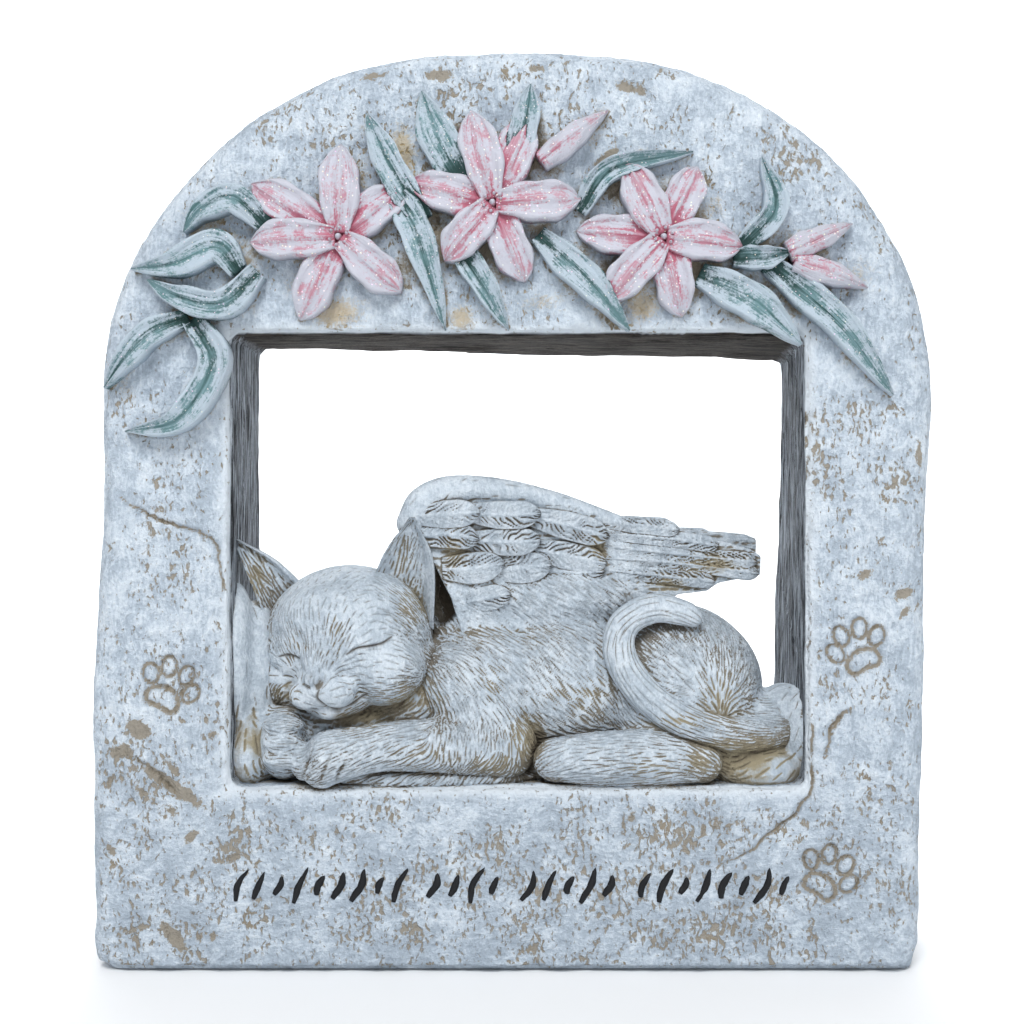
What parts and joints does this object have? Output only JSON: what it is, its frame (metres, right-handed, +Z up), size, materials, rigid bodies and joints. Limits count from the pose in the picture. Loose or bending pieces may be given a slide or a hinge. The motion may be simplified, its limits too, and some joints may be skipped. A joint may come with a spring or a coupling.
{
  "type": "pet grave marker",
  "caption": "Arched memorial slab with a square window, a winged kitten asleep on its sill and a spray of lilies over the top. It stands by its own weight.",
  "frame": {"origin": "on the ground, below the middle of the whole marker's box", "axes": "+Z up, +X to the right seen from the front, +Y from the carved face to the back"},
  "size_m": [0.1842, 0.0487, 0.2003],
  "materials": {
    "painted_resin": "cast polyresin, whitewashed over tan, dry-brushed and matt"
  },
  "bodies": {
    "root": {"marker": "painted_resin"}
  },
  "joints": []
}
